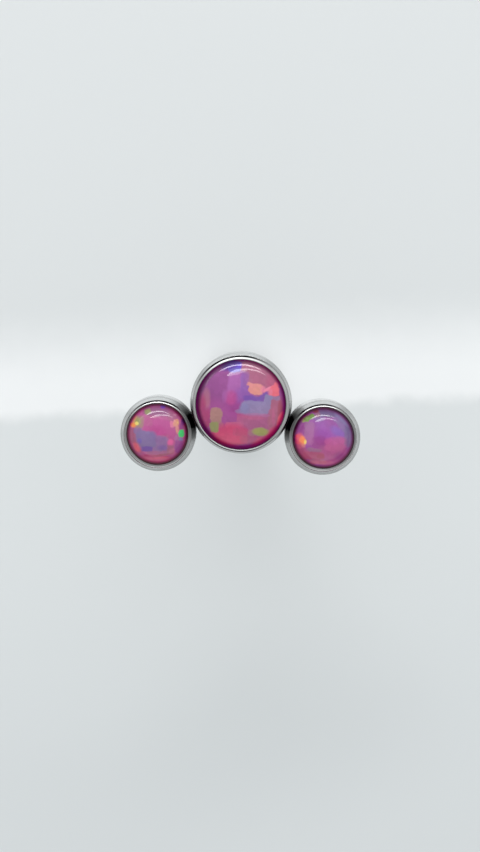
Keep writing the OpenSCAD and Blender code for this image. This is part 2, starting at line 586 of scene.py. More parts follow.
# %% [markdown]
# ## One piece of metal
#
# Soldered parts are one piece, so the cups, the bridges and the pin are united into a single
# watertight solid. The Manifold solver does that fast and leaves no loose faces. Edges where two
# parts meet at a steep angle are marked sharp, and everything else stays smooth.

# %% Unite the setting
SHARP_ANGLE = math.radians(38)


def united(name, first, others):
    """The Boolean union of several closed solids as a new object, without its helpers."""
    for other in others:
        union = first.modifiers.new("union", "BOOLEAN")
        union.operation = "UNION"
        union.solver = "MANIFOLD"
        union.object = other
    graph = bpy.context.evaluated_depsgraph_get()
    mesh = bpy.data.meshes.new_from_object(first.evaluated_get(graph))
    mesh.name = name
    for helper in [first, *others]:
        bpy.data.objects.remove(helper)
    mesh.set_sharp_from_angle(angle=SHARP_ANGLE)
    made = bpy.data.objects.new(name, mesh)
    scene.collection.objects.link(made)
    return made


def open_edges(thing):
    """How many edges don't have exactly two faces. A watertight solid has none."""
    edge_of_corner = np.empty(len(thing.data.loops), np.int32)
    thing.data.loops.foreach_get("edge_index", edge_of_corner)
    return int((np.bincount(edge_of_corner, minlength=len(thing.data.edges)) != 2).sum())


setting = united(
    "bezel_setting", cups["opal_centre"], [cups["opal_left"], cups["opal_right"], *bridges, pin]
)
print(f"setting: {triangles(setting)} triangles, {open_edges(setting)} open edges")

# %% [markdown]
# ## The stones
#
# A cabochon's profile is short: a flat base with a small chamfer, an upright girdle, and the dome,
# an arc of a circle whose centre lies on the axis. A flattened sphere would look alike, but would
# bend the lamps' arcs. Under the lip the girdle meets the dome in an edge. The small stones are
# polished by hand, and keep a flatter zone, a few thousandths of a millimetre deep and deepest on
# one side, on which the lamps' arcs stand apart.

# %% Cut the three cabochons
GIRDLE_CHAMFER = 0.05
GIRDLE_ROUND = 0.01
GIRDLE_SPACING = 0.12
DOME_POINTS = 110
STONE_STEPS = 224
FLAT_DEPTH = by_stone(0.0, 0.0016)
FLAT_PLACE = 0.715
FLAT_WIDTH = 0.08
FLAT_SIDE = math.radians(30)


def cabochon(node):
    """Base, girdle and dome. A dome point at the angle a from its top has the radius R sin a and
    the height c + R cos a, with c the height of the sphere's centre."""
    stone = stones[node]
    centre_height = stone["lip"] + stone["rise"] - stone["dome"]
    widest = math.asin(stone["radius"] / stone["dome"])
    slope = np.linspace(widest, 0, DOME_POINTS)
    dome = np.stack([np.sin(slope), np.cos(slope)], axis=1) * stone["dome"] + [0, centre_height]
    dome[-1, 0] = 0
    side = rounded(
        [
            (0, stone["base"], 0),
            (stone["radius"] - GIRDLE_CHAMFER, stone["base"], GIRDLE_ROUND),
            (stone["radius"], stone["base"] + GIRDLE_CHAMFER, GIRDLE_ROUND),
            (stone["radius"], dome[0, 1], 0),
        ],
        GIRDLE_SPACING,
    )
    return np.concatenate([side[:-1], dome])


def flattened(node, axis, vertices):
    """The stone with its flat zone. A dome point at the radius r and the azimuth a sinks by
    d (1 + cos(a - b)) exp(-((r - p) / w) squared), with b the side where the zone is deepest."""
    across, ahead = (vertices[:, :2] - axis).T
    sunk = FLAT_DEPTH[node] * (1 + np.cos(np.arctan2(ahead, across) - FLAT_SIDE))
    sunk *= np.exp(-(((np.hypot(across, ahead) - FLAT_PLACE) / FLAT_WIDTH) ** 2))
    above = vertices[:, 2] > stones[node]["lip"]
    return vertices - np.outer(sunk * above, (0, 0, 1))


opals = {}
for node, stone in stones.items():
    axis = stone["axis"] + np.array(OFF_CENTRE[node])
    vertices, faces = turned(cabochon(node), axis, STONE_STEPS)
    gem = solid("cabochon" + node[4:], flattened(node, axis, vertices), faces)
    gem.data.set_sharp_from_angle(angle=SHARP_ANGLE)
    opals[node] = gem
    print(f"{gem.name}: {triangles(gem)} triangles, {open_edges(gem)} open edges")

# %% [markdown]
# ## The labret post
#
# Flat back and post are turned from one bar. The flat back is smooth where it lies against skin:
# a soft rim in front, a smaller one behind. The post meets it in a small hollow fillet, and its
# far end is drilled for the pin and bevelled at the mouth.

# %% Turn the post
POST_RADIUS = 0.6
DISC_THICKNESS = 0.6
DISC_BACK_ROUND = 0.1
DISC_FRONT_ROUND = 0.35
FOOT_FILLET = 0.08
MOUTH_BEVEL = 0.06
MOUTH_ROUND = 0.01
BORE_ROUND = 0.02
PIN_ROOM = 0.2
POST_SPACING = 0.08
POST_STEPS = 256

post_high = node_box("labret_post")[1]
disc_radius = post_high[0]
bore_radius = PIN_RADIUS + PLAY
bore_floor = setting_low[2] - PIN_ROOM
post_profile = rounded(
    [
        (0, 0, 0),
        (disc_radius, 0, DISC_BACK_ROUND),
        (disc_radius, DISC_THICKNESS, DISC_FRONT_ROUND),
        (POST_RADIUS, DISC_THICKNESS, FOOT_FILLET),
        (POST_RADIUS, post_high[2] - MOUTH_BEVEL, MOUTH_ROUND),
        (POST_RADIUS - MOUTH_BEVEL, post_high[2], MOUTH_ROUND),
        (bore_radius, post_high[2], BORE_ROUND),
        (bore_radius, bore_floor, BORE_ROUND),
        (0, bore_floor, 0),
    ],
    POST_SPACING,
)
post = solid("post_with_flat_back", *turned(post_profile, (0, 0), POST_STEPS))
post.data.set_sharp_from_angle(angle=SHARP_ANGLE)
print(f"post: {triangles(post)} triangles, {open_edges(post)} open edges")

# %% [markdown]
# ## Short words for shader nodes
#
# A node tree made in code is long unless its common steps have short names. This little class
# holds one material. Each method adds a node or a few, plugs in what it is given, a number or
# another node's output, and returns an output. Node groups would shorten the tree in the same
# way, but plain nodes are easier to follow in the shader editor.

# %% A material as a list of steps
class Finish:
    """One material, and the few kinds of node that the finishes here are made of."""

    def __init__(self, name):
        self.material = bpy.data.materials.new(name)
        self.material.use_nodes = True
        self.tree = self.material.node_tree
        self.shader = self.tree.nodes["Principled BSDF"]

    def plug(self, socket, value):
        if isinstance(value, bpy.types.NodeSocket):
            self.tree.links.new(value, socket)
        else:
            socket.default_value = value

    def node(self, kind, inputs, output=0, **settings):
        made = self.tree.nodes.new("ShaderNode" + kind)
        for name, value in settings.items():
            setattr(made, name, value)
        for name, value in inputs.items():
            self.plug(made.inputs[name], value)
        return made.outputs[output]

    def number(self, operation, first, second):
        return self.node("Math", {0: first, 1: second}, operation=operation)

    def vector(self, operation, first, second=(0.0, 0.0, 0.0), output=0):
        return self.node("VectorMath", {0: first, 1: second}, output, operation=operation)

    def ramp(self, value, start, end, low=0.0, high=1.0):
        """A smooth step from low to high while value goes from start to end."""
        ends = {"Value": value, "From Min": start, "From Max": end, "To Min": low, "To Max": high}
        return self.node("MapRange", ends, interpolation_type="SMOOTHSTEP")

    def mix(self, factor, first, second, blend="MIX"):
        """A colour between first, where factor is 0, and second, where it is 1."""
        layers = {0: factor, 6: first, 7: second}
        return self.node("Mix", layers, 2, data_type="RGBA", blend_type=blend)

    def noise(self, vector, scale, detail=2.0, output="Fac"):
        return self.node("TexNoise", {"Vector": vector, "Scale": scale, "Detail": detail}, output)

    def bump(self, relief, strength, height):
        """A relief of so many millimetres, as a bent normal."""
        relief = {"Strength": strength, "Distance": height * MM, "Height": relief}
        return self.node("Bump", relief, "Normal")

    def finish(self, thing, values):
        """Plug values into the shader's own sockets, and give the material to a piece."""
        for name, value in values.items():
            self.plug(self.shader.inputs[name], value)
        thing.data.materials.clear()
        thing.data.materials.append(self.material)


print("steps of a finish:", ", ".join(name for name in vars(Finish) if not name.startswith("_")))

# %% [markdown]
# ## Places on a piece
#
# Marks and colours on a turned thing are placed from its axis: so far out, so high, so far round.
# A UV map would wrap a pattern round each cup, but would be squeezed on the steep bevels and have
# a seam. Object coordinates need neither, so each finish measures from an upright axis with them,
# in millimetres.

# %% Measure from an upright axis
def local(finish, axis, turn=0.0):
    """Coordinates in millimetres about an upright axis, turned by turn."""
    steps = {
        "Vector": finish.node("TexCoord", {}, "Object"),
        "Location": (axis[0] * MM, axis[1] * MM, 0),
        "Rotation": (0, 0, turn),
        "Scale": (MM, MM, MM),
    }
    return finish.node("Mapping", steps, vector_type="TEXTURE")


def level_from(finish, axis, turn=0.0):
    """The level vector from an upright axis."""
    return finish.vector("MULTIPLY", local(finish, axis, turn), (1, 1, 0))


def length(finish, vector):
    return finish.vector("LENGTH", vector, output="Value")


def height(finish):
    return finish.node("SeparateXYZ", {0: local(finish, (0, 0))}, "Z")


def round_to(finish, axis, side):
    """How far round to one side of an axis a point lies, from -1 to 1."""
    heading = finish.vector("NORMALIZE", level_from(finish, axis))
    return finish.vector("DOT_PRODUCT", heading, side, "Value")


def largest(finish, values):
    """The largest of several outputs, none of which falls below 0."""
    most = 0.0
    for value in values:
        most = finish.number("MAXIMUM", most, value)
    return most


for node, stone in stones.items():
    print(f"{node}: upright axis at {np.round(stone['axis'], 2)} mm")

# %% [markdown]
# ## Painted highlights and shade on the metal
#
# The metal's colour carries painted light. A painted highlight brightens the far side of each cup,
# where the lamps stand, the near side of the centre bead, and on the small cups the outer side of
# the groove on that side. The groove round each bead, the scored line on each bevel, a few bands
# on the beads and bevels, and the wedges beside the solder are painted dark, as painted shade,
# strongest on one side of each cup. Such places could be drawn by hand on a UV map. But nearly all
# of them are rings, strong at one azimuth and faint elsewhere, so a ring is one function and the
# rings are a table.

# %% Draw painted highlights and painted shade
# Painted highlight on the far side of each cup, where the lamps stand
LIT_SIDE = (-0.17, 0.98, 0)
LIT_SIDE_SWING = (0.65, 0.95)
LIT_SIDE_HIGHLIGHT = 0.85
CUP_EDGE = (0.1, 0.03)
RING_EDGE = (1.3, 0.85)
RING_SWING = (0.5, 0.95)
# Painted shade round each solder joint: a dark core and a fainter halo
JOINT_CORE = 0.3
JOINT_EDGE = 0.42
JOINT_REACH = 1.0
JOINT_HALO_SHADE = 0.5
JOINT_RAGGED = 0.16
JOINT_FADE = 0.08


def ring(metal, axis, radius, level, half_width, azimuth, there, elsewhere):
    """A soft ring round an upright axis, of one strength at an azimuth and another elsewhere. It
    fades with the distance from the circle of that radius at that level."""
    section = {"X": length(metal, level_from(metal, axis)), "Y": height(metal)}
    off_circle = metal.vector("SUBTRACT", metal.node("CombineXYZ", section), (radius, level, 0))
    start, end = np.array(RING_EDGE) * half_width
    shade = metal.ramp(length(metal, off_circle), start, end)
    side = (math.cos(math.radians(azimuth)), math.sin(math.radians(azimuth)), 0)
    share = metal.ramp(round_to(metal, axis, side), *RING_SWING, elsewhere, there)
    return metal.number("MULTIPLY", shade, share)


def beyond(metal, axis, radius):
    """How far outside an upright cylinder a point lies."""
    return metal.number("SUBTRACT", length(metal, level_from(metal, axis)), radius)


def highlight_amount(metal, rims, shines):
    """How strongly a painted highlight brightens the metal, from 0 to 1: on the far side of each
    cup (axis, radius), up to just outside its wall, and on each ring of painted highlight."""
    places = [ring(metal, *shine) for shine in shines]
    for axis, radius in rims:
        facing = metal.ramp(round_to(metal, axis, LIT_SIDE), *LIT_SIDE_SWING, 0, LIT_SIDE_HIGHLIGHT)
        own = metal.ramp(beyond(metal, axis, radius), *CUP_EDGE)
        places.append(metal.number("MULTIPLY", facing, own))
    return largest(metal, places)


def shade_amount(metal, films, joints):
    """How strongly painted shade darkens the metal, from 0 to 1: on each ring of painted shade, and
    round each solder joint (x, y, top) in a dark core and a fainter halo with a ragged edge, up to
    its top."""
    places = [ring(metal, *film) for film in films]
    for x, y, top in joints:
        ragged = metal.noise(local(metal, (0, 0)), 5.0, 3.0)
        ragged = metal.number("MULTIPLY", ragged, JOINT_RAGGED)
        near = metal.number("ADD", length(metal, level_from(metal, (x, y))), ragged)
        haze = metal.ramp(near, JOINT_REACH, JOINT_CORE, 0, JOINT_HALO_SHADE)
        shade = metal.number("MAXIMUM", haze, metal.ramp(near, JOINT_EDGE, JOINT_CORE))
        below = metal.ramp(height(metal), top, top - JOINT_FADE)
        places.append(metal.number("MULTIPLY", shade, below))
    return largest(metal, places)


print(f"a joint is dark to {JOINT_CORE} mm from its middle and hazy to {JOINT_REACH:.1f} mm")

# %% [markdown]
# ## Polished titanium
#
# The metal is turned on a lathe and polished, so its finest marks run round each cup. A line of
# noise over the distance from the nearest rim, plus the height, gives rings on the bevels and
# hoops on the walls. Haze and a few hairlines break up the shine. A stretched picture of brushed
# metal would do on a flat sheet, but its lines can't run round three cups at once.

# %% Mix the titanium
# The near-white colour paints highlights, and the near-black one paints shade, into the metal
TITANIUM = (0.43, 0.43, 0.426, 1)
HIGHLIGHT_COLOUR = (0.95, 0.95, 0.945, 1)
HAZY = (0.42, 0.42, 0.418, 1)
SHADE_COLOUR = (0.003, 0.003, 0.004, 1)
MARKS_PER_MM = 55.0
MARK_HEIGHT = 0.0012
HAIRLINE_TURN = (0.4, 0.7, 0.5)
HAIRLINE_STRETCH = (60, 1.5, 1.5)
SMOOTH = 0.17
HAZY_ROUGH = 0.27
HAIRLINE_ROUGH = 0.12
SHADE_ROUGH = 0.35


def titanium(name, thing, rims, shines=(), films=(), joints=()):
    """Polished titanium on one piece, with turning marks about each rim (axis, radius). The painted
    shade covers the painted highlights, and both hairlines and painted shade are rougher than the
    metal."""
    metal = Finish(name)
    place = local(metal, (0, 0))
    shine, film = highlight_amount(metal, rims, shines), shade_amount(metal, films, joints)
    nearest, *others = [beyond(metal, axis, radius) for axis, radius in rims]
    for other in others:
        nearest = metal.number("MINIMUM", nearest, other)
    lathe = {"W": metal.number("ADD", nearest, height(metal)), "Scale": MARKS_PER_MM, "Detail": 3.0}
    marks = metal.node("TexNoise", lathe, "Fac", noise_dimensions="1D")
    stretched = {"Vector": place, "Rotation": HAIRLINE_TURN, "Scale": HAIRLINE_STRETCH}
    hairlines = metal.noise(metal.node("Mapping", stretched), 1.0, 3.0)
    hairlines = metal.ramp(hairlines, 0.66, 0.74)
    haze = metal.noise(place, 1.7, 4.0)

    # Painted highlights lighten the metal's colour, and painted shade darkens it
    tone = metal.mix(shine, TITANIUM, HIGHLIGHT_COLOUR)
    tone = metal.mix(metal.ramp(haze, 0.3, 0.7, 0, 0.2), tone, HAZY)
    rough = metal.ramp(haze, 0.25, 0.75, SMOOTH, HAZY_ROUGH)
    rough = metal.number("ADD", rough, metal.number("MULTIPLY", hairlines, HAIRLINE_ROUGH))
    relief = metal.number("SUBTRACT", marks, metal.number("MULTIPLY", hairlines, 0.5))
    values = {
        "Base Color": metal.mix(film, tone, SHADE_COLOUR),
        "Roughness": metal.number("ADD", rough, metal.number("MULTIPLY", film, SHADE_ROUGH)),
        "Normal": metal.bump(relief, 0.35, MARK_HEIGHT),
        "Metallic": 1.0,
        "Specular Tint": (0.95, 0.95, 0.95, 1),
    }
    metal.finish(thing, values)
    print(f"{name}: {len(metal.tree.nodes)} nodes")


titanium("polished titanium, turned", post, [((0, 0), POST_RADIUS)])

# %% [markdown]
# ## The setting's own marks
#
# Each cup has its own painted highlights and painted shade. One table gives the kinds of ring,
# and two more say for each cup which it has, at which azimuth and how strong. The rings follow
# the groove, so they move along when a stone or a bead is made wider.

# %% Place the rings and finish the setting
# Each kind of ring: its axis, from the cup's at 0 to the mouth's at 1, how far it lies outside
# the groove and below the lip, and its half width
RINGS = {
    "groove": (0.5, 0, 0.045, 0.03),
    "groove's inner side": (0.5, -0.012, 0.04, 0.028),
    "bead's inner edge": (1, -0.081, 0.012, 0.012),
    "bead": (1, -0.04, 0.015, 0.035),
    "bead's crest": (1, -0.045, 0.015, 0.035),
    "groove's outer side": (0.5, 0.02, 0.05, 0.03),
    "bevel": (0, 0.1, 0.25, 0.22),
}
# Painted highlights, then painted shade. Each row: kind of ring, azimuth, strength there and
# strength elsewhere
PAINTED_HIGHLIGHTS = {
    "opal_centre": [("bead's crest", 250, 1, 0)],
    "opal_left": [("groove's outer side", 285, 0.45, 0.25)],
    "opal_right": [("groove's outer side", 340, 0.8, 0.35)],
}
# Painted shade: dark grooves, bead edges, beads and bevels, strongest at one azimuth
SHADE_RINGS = {
    "opal_centre": [("groove", 105, 1, 0.05), ("groove's inner side", 250, 0.8, 0)],
    "opal_left": [
        ("groove", 90, 1, 0.05),
        ("bead's inner edge", 90, 0.8, 0.3),
        ("bead", 285, 0.45, 0.2),
        ("bevel", 270, 0.07, 0),
    ],
    "opal_right": [
        ("groove", 106, 1, 0.05),
        ("bead's inner edge", 106, 0.8, 0.3),
        ("bead", 315, 0.3, 0.25),
        ("bevel", 270, 0.07, 0),
    ],
}
# Painted shade in each scored line: azimuth, strength there and strength elsewhere
SCORE_SHADE = {
    "opal_centre": (105, 0.6, 0.1),
    "opal_left": (90, 0.6, 0.1),
    "opal_right": (106, 0.6, 0.1),
}


def rings_of(node, rows):
    """The rings of one cup, placed by its stone, its groove and its lip."""
    stone, made = stones[node], []
    groove = stone["edge"] + BEAD_WIDTH[node] + GROOVE_WIDTH / 2
    for kind, *strengths in rows:
        share, outside, below, half_width = RINGS[kind]
        axis = stone["axis"] + share * np.array(OFF_CENTRE[node])
        made.append((axis, groove + outside, stone["lip"] - below, half_width, *strengths))
    return made


def score_ring(node):
    """The scored line's own ring, so far down the bevel."""
    stone = stones[node]
    bevel_top = stone["edge"] + BEAD_WIDTH[node] + GROOVE_WIDTH
    radius = bevel_top + (cup_radius(node) - bevel_top) * SCORE_PLACE
    level = stone["lip"] - BEVEL_STEP - BEVEL_DROP * SCORE_PLACE
    return stone["axis"], radius, level, SCORE_WIDTH, *SCORE_SHADE[node]


def solder_joint(node):
    """Where a side cup meets the centre cup, and how high the painted shade may reach there."""
    centre_axis = stones["opal_centre"]["axis"]
    line = stones[node]["axis"] - centre_axis
    wedge = centre_axis + line / np.linalg.norm(line) * cup_radius("opal_centre")
    return *wedge, stones[node]["lip"]


rims = [(stone["axis"], cup_radius(node)) for node, stone in stones.items()]
shines = [row for node in stones for row in rings_of(node, PAINTED_HIGHLIGHTS[node])]
films = [row for node in stones for row in (score_ring(node), *rings_of(node, SHADE_RINGS[node]))]
joints = [solder_joint(node) for node in ("opal_left", "opal_right")]
titanium("polished titanium, cast and soldered", setting, rims, shines, films, joints)
print(f"{len(shines)} rings of shine, {len(films)} of film")

# %% [markdown]
# ## Opal
#
# Opal breaks light up inside: flat domains, a few tenths of a millimetre wide, throw back one pure
# colour each. A true opal would need the light's wavelengths, and Blender traces only red, green
# and blue. So the domains are painted, under a clear polish. The paints are mixed first. Each is
# written as a picture states it, because a colour is judged that way, and is turned into the light
# that it stands for.

# %% Mix the palette
def colour(red, green, blue):
    """The light of a colour that is stated from 0 to 255: ((c + 0.055) / 1.055) to the power of
    2.4, with c from 0 to 1."""
    return *[((c / 255 + 0.055) / 1.055) ** 2.4 for c in (red, green, blue)], 1.0


PAINTS = {
    "orchid": (172, 96, 168),
    "purple": (158, 78, 148),
    "plum": (150, 72, 140),
    "amethyst": (160, 88, 170),
    "violet": (148, 94, 168),
    "lilac": (140, 98, 182),
    "deep violet": (122, 84, 166),
    "ultramarine": (104, 74, 200),
    "indigo": (88, 40, 148),
    "slate": (143, 130, 172),
    "blue slate": (128, 132, 178),
    "grey violet": (136, 112, 160),
    "smoke": (108, 96, 132),
    "ash": (154, 116, 140),
    "mauve": (174, 112, 160),
    "dusk": (148, 92, 130),
    "heather": (170, 96, 138),
    "magenta": (188, 80, 144),
    "pink": (190, 95, 150),
    "hot pink": (230, 100, 160),
    "pink flash": (232, 130, 158),
    "rose": (185, 98, 140),
    "dusty rose": (171, 102, 130),
    "raspberry": (190, 76, 120),
    "crimson": (206, 70, 116),
    "ruby": (168, 58, 108),
    "claret": (176, 82, 118),
    "brick": (160, 70, 90),
    "wine": (136, 52, 62),
    "ember": (246, 84, 112),
    "salmon": (224, 142, 138),
    "coral": (236, 106, 124),
    "apricot": (220, 154, 114),
    "orange": (254, 152, 92),
    "yellow": (242, 216, 116),
    "khaki": (168, 128, 124),
    "olive": (146, 150, 98),
    "moss": (157, 160, 94),
    "lime": (120, 148, 70),
    "green": (74, 208, 114),
}
PALETTE = {name: colour(*levels) for name, levels in PAINTS.items()}
print(f"{len(PALETTE)} paints, of which orchid is the light {np.round(PALETTE['orchid'][:3], 2)}")

# %% [markdown]
# ## A chart for each stone
#
# The domains meet in borders that are straight, stepped or soft. A cell texture alone would give
# borders of that kind, but its colours would fall anywhere. So each stone has a chart of its
# domains, in millimetres from its axis. A chart entry is an oval or a block with a centre, half
# sizes, a turn, a softness and a strength. Later entries lie over earlier ones.

# %% Chart the centre stone
# Each row: colour, x, y, half width, half height, turn in degrees, shape, softness, strength
CENTRE_CHART = [
    ("orchid", -0.21, 0.61, 0.23, 0.41, 0, "block", 0.4, 0.95),
    ("dusty rose", 0.65, 0.91, 0.49, 0.43, 0, "block", 0.35, 0.95),
    ("dusty rose", 0.41, 1.22, 0.42, 0.22, 0, "block", 0.2, 0.95),
    ("raspberry", 1.04, 0.81, 0.22, 0.28, 0, "oval", 0.6, 0.6),
    ("lilac", 0.10, 0.66, 0.13, 0.38, 0, "block", 0.7, 0.7),
    ("violet", 0.10, 0.33, 0.28, 0.22, 0, "oval", 0.7, 0.8),
    ("ultramarine", -0.24, 1.23, 0.21, 0.17, 0, "block", 0.2, 1.0),
    ("indigo", -0.41, 1.26, 0.26, 0.14, 22, "oval", 0.6, 0.9),
    ("blue slate", -0.24, 1.10, 0.18, 0.08, 8, "block", 0.6, 0.35),
    ("rose", 0.04, -0.41, 0.30, 0.16, 0, "oval", 0.7, 0.7),
    ("heather", 0.57, -0.53, 0.51, 0.26, 0, "block", 0.7, 0.85),
    ("rose", 0.44, -0.37, 0.30, 0.06, 0, "oval", 0.6, 0.6),
    ("dusty rose", 1.10, -0.20, 0.20, 0.55, 0, "block", 0.5, 0.9),
    ("brick", 1.28, -0.10, 0.08, 0.30, 0, "oval", 0.6, 0.7),
    ("coral", 1.30, -0.40, 0.07, 0.22, -17, "oval", 0.6, 0.9),
    ("rose", 1.08, -0.43, 0.05, 0.31, 4, "oval", 0.6, 0.7),
    ("deep violet", 0.41, 0.22, 0.33, 0.10, -4, "block", 0.4, 0.9),
    ("deep violet", 0.71, 0.33, 0.17, 0.07, 42, "oval", 0.4, 0.9),
    ("slate", 0.45, -0.06, 0.45, 0.22, 0, "block", 0.3, 1.0),
    ("slate", 0.85, 0.12, 0.12, 0.26, -6, "block", 0.3, 1.0),
    ("slate", 0.28, 0.12, 0.10, 0.06, 0, "oval", 0.6, 0.6),
    ("slate", 1.08, 0.27, 0.17, 0.07, 0, "block", 0.6, 0.6),
    ("slate", -0.04, -0.18, 0.12, 0.06, 6, "oval", 0.6, 0.7),
    ("blue slate", 0.12, -0.08, 0.14, 0.14, 0, "oval", 0.7, 0.5),
    ("mauve", 0.43, -0.28, 0.26, 0.05, 0, "oval", 0.6, 0.6),
    ("mauve", 0.80, -0.28, 0.14, 0.05, 0, "oval", 0.5, 0.7),
    ("claret", 0.55, 0.85, 0.40, 0.28, 0, "oval", 0.8, 0.35),
    ("dusty rose", 0.28, 0.81, 0.07, 0.10, 0, "oval", 0.6, 0.6),
    ("salmon", 0.46, 0.54, 0.22, 0.16, -8, "block", 0.3, 1.0),
    ("salmon", 0.28, 0.69, 0.12, 0.07, -14, "block", 0.4, 0.9),
    ("salmon", 0.54, 0.43, 0.11, 0.06, 0, "oval", 0.5, 0.8),
    ("apricot", 0.49, 0.46, 0.12, 0.12, 0, "oval", 0.8, 0.2),
    ("pink flash", 0.69, 0.54, 0.08, 0.10, 0, "oval", 0.5, 0.7),
    ("pink flash", 0.89, 0.57, 0.20, 0.05, 28, "oval", 0.4, 0.95),
    ("coral", 1.06, 0.51, 0.15, 0.17, 0, "block", 0.3, 1.0),
    ("coral", 1.11, 0.67, 0.08, 0.10, 10, "oval", 0.4, 0.95),
    ("pink flash", 0.93, 0.46, 0.07, 0.10, 0, "oval", 0.6, 0.6),
    ("magenta", -0.32, 0.24, 0.17, 0.20, 0, "oval", 0.6, 0.8),
    ("orchid", -0.53, 0.28, 0.08, 0.18, 0, "oval", 0.6, 0.5),
    ("dusty rose", -1.11, 0.16, 0.11, 0.30, 4, "oval", 0.6, 0.9),
    ("ruby", -1.25, -0.06, 0.11, 0.30, 0, "oval", 0.7, 0.8),
    ("ruby", -1.10, -0.41, 0.13, 0.24, -16, "oval", 0.6, 0.8),
    ("ruby", -1.04, -0.66, 0.08, 0.12, -30, "oval", 0.6, 0.8),
    ("dusty rose", -0.62, -0.66, 0.08, 0.10, 0, "oval", 0.6, 0.8),
    ("purple", -0.33, -0.41, 0.22, 0.21, 0, "block", 0.35, 0.9),
    ("rose", -0.18, -0.63, 0.28, 0.09, 8, "block", 0.5, 0.8),
    # The crimson rows along the near edge paint a glow: light from the far side gathered in the
    # near edge of the dome, over the stone's own colours.
    ("crimson", -0.30, -0.98, 0.52, 0.34, 8, "oval", 0.45, 0.95),
    ("raspberry", 0.02, -0.91, 0.22, 0.18, 0, "block", 0.5, 0.9),
    ("crimson", -0.22, -1.14, 0.46, 0.14, 0, "block", 0.5, 0.9),
    ("crimson", -0.62, -1.02, 0.30, 0.12, -30, "oval", 0.6, 0.9),
    ("claret", 0.39, -1.10, 0.33, 0.14, 0, "block", 0.6, 0.7),
    ("crimson", 0.74, -1.08, 0.34, 0.10, 34, "oval", 0.6, 0.65),
    ("crimson", 1.03, -0.84, 0.10, 0.22, -40, "oval", 0.6, 0.8),
    ("khaki", -0.77, -0.37, 0.19, 0.25, 0, "block", 0.35, 1.0),
    ("olive", -0.82, -0.74, 0.14, 0.17, 0, "block", 0.4, 1.0),
    ("olive", -0.75, -0.87, 0.06, 0.06, 0, "oval", 0.5, 0.8),
    ("khaki", 0.41, -0.87, 0.13, 0.10, 0, "oval", 0.6, 0.6),
    ("moss", 0.68, -0.83, 0.25, 0.13, -2, "oval", 0.35, 1.0),
]
print(f"centre stone: {len(CENTRE_CHART)} domains")

# %% Chart the left stone
LEFT_CHART = [
    ("dusk", 0.02, 0.82, 0.47, 0.20, 0, "block", 0.6, 0.9),
    ("dusty rose", 0.49, 0.65, 0.14, 0.18, 20, "oval", 0.6, 0.6),
    ("magenta", 0.02, 0.27, 0.44, 0.25, -3, "block", 0.4, 0.9),
    ("rose", -0.30, 0.39, 0.13, 0.10, 0, "block", 0.6, 0.6),
    ("magenta", 0.51, 0.00, 0.12, 0.22, 0, "oval", 0.6, 0.8),
    ("dusty rose", -0.81, -0.04, 0.12, 0.24, 0, "block", 0.6, 0.8),
    ("grey violet", -0.61, 0.12, 0.14, 0.12, 0, "block", 0.6, 0.8),
    ("grey violet", -0.35, -0.16, 0.33, 0.28, 0, "block", 0.35, 1.0),
    ("grey violet", 0.12, -0.28, 0.26, 0.25, 0, "block", 0.5, 0.8),
    ("deep violet", 0.22, -0.41, 0.14, 0.08, 0, "oval", 0.7, 0.5),
    ("ultramarine", -0.55, -0.23, 0.07, 0.08, 0, "oval", 0.7, 0.35),
    ("deep violet", -0.31, -0.49, 0.19, 0.09, 0, "block", 0.4, 0.95),
    ("heather", 0.05, -0.59, 0.30, 0.07, 0, "block", 0.6, 0.7),
    ("olive", -0.33, 0.74, 0.10, 0.08, 18, "block", 0.8, 0.9),
    ("khaki", -0.61, 0.39, 0.17, 0.19, 0, "block", 0.5, 0.95),
    ("apricot", -0.75, 0.45, 0.06, 0.12, -20, "oval", 0.5, 0.8),
    ("moss", -0.63, 0.40, 0.09, 0.11, 0, "oval", 0.6, 0.8),
    ("orange", -0.79, 0.28, 0.09, 0.07, 0, "oval", 0.6, 1.0),
    ("yellow", -0.67, 0.33, 0.06, 0.05, 10, "oval", 0.5, 1.0),
    ("pink flash", 0.49, 0.38, 0.07, 0.10, 0, "block", 0.5, 0.7),
    ("salmon", 0.60, 0.42, 0.09, 0.12, 0, "block", 0.35, 1.0),
    ("salmon", 0.65, 0.22, 0.05, 0.13, 8, "oval", 0.5, 0.95),
    ("apricot", 0.62, 0.41, 0.06, 0.09, 0, "oval", 0.6, 0.55),
    ("yellow", 0.654, 0.42, 0.025, 0.03, 0, "oval", 0.5, 0.3),
    ("indigo", 0.83, 0.45, 0.06, 0.10, 0, "oval", 0.6, 0.9),
    ("plum", 0.79, 0.30, 0.06, 0.12, 0, "oval", 0.6, 0.8),
    ("green", 0.792, 0.07, 0.09, 0.12, 0, "block", 0.35, 1.0),
    ("blue slate", 0.79, -0.12, 0.06, 0.06, 0, "oval", 0.7, 0.8),
    ("mauve", 0.65, -0.08, 0.07, 0.10, 0, "oval", 0.6, 0.7),
    ("hot pink", 0.46, -0.23, 0.08, 0.10, 0, "oval", 0.6, 1.0),
    ("purple", 0.73, -0.37, 0.13, 0.20, 0, "block", 0.5, 0.9),
    ("dusty rose", 0.47, -0.47, 0.11, 0.14, 0, "block", 0.5, 0.9),
    ("dusty rose", -0.65, -0.43, 0.12, 0.22, 30, "oval", 0.6, 0.8),
    ("coral", -0.64, -0.45, 0.08, 0.16, 30, "oval", 0.7, 0.9),
    ("raspberry", 0.00, -0.81, 0.47, 0.15, 0, "block", 0.5, 0.9),
    ("brick", 0.20, -0.65, 0.28, 0.034, 10, "oval", 0.6, 0.6),
    ("coral", 0.12, -0.76, 0.24, 0.034, 6, "oval", 0.7, 0.5),
    # A painted reflection: the faint pink band across the near edge of the dome
    ("pink flash", 0.00, -0.80, 0.36, 0.07, 0, "oval", 0.7, 0.45),
    ("pink flash", 0.52, -0.53, 0.10, 0.10, 0, "oval", 0.7, 0.3),
    ("ultramarine", 0.15, 0.90, 0.07, 0.05, 0, "oval", 0.6, 0.8),
]
print(f"left stone: {len(LEFT_CHART)} domains")

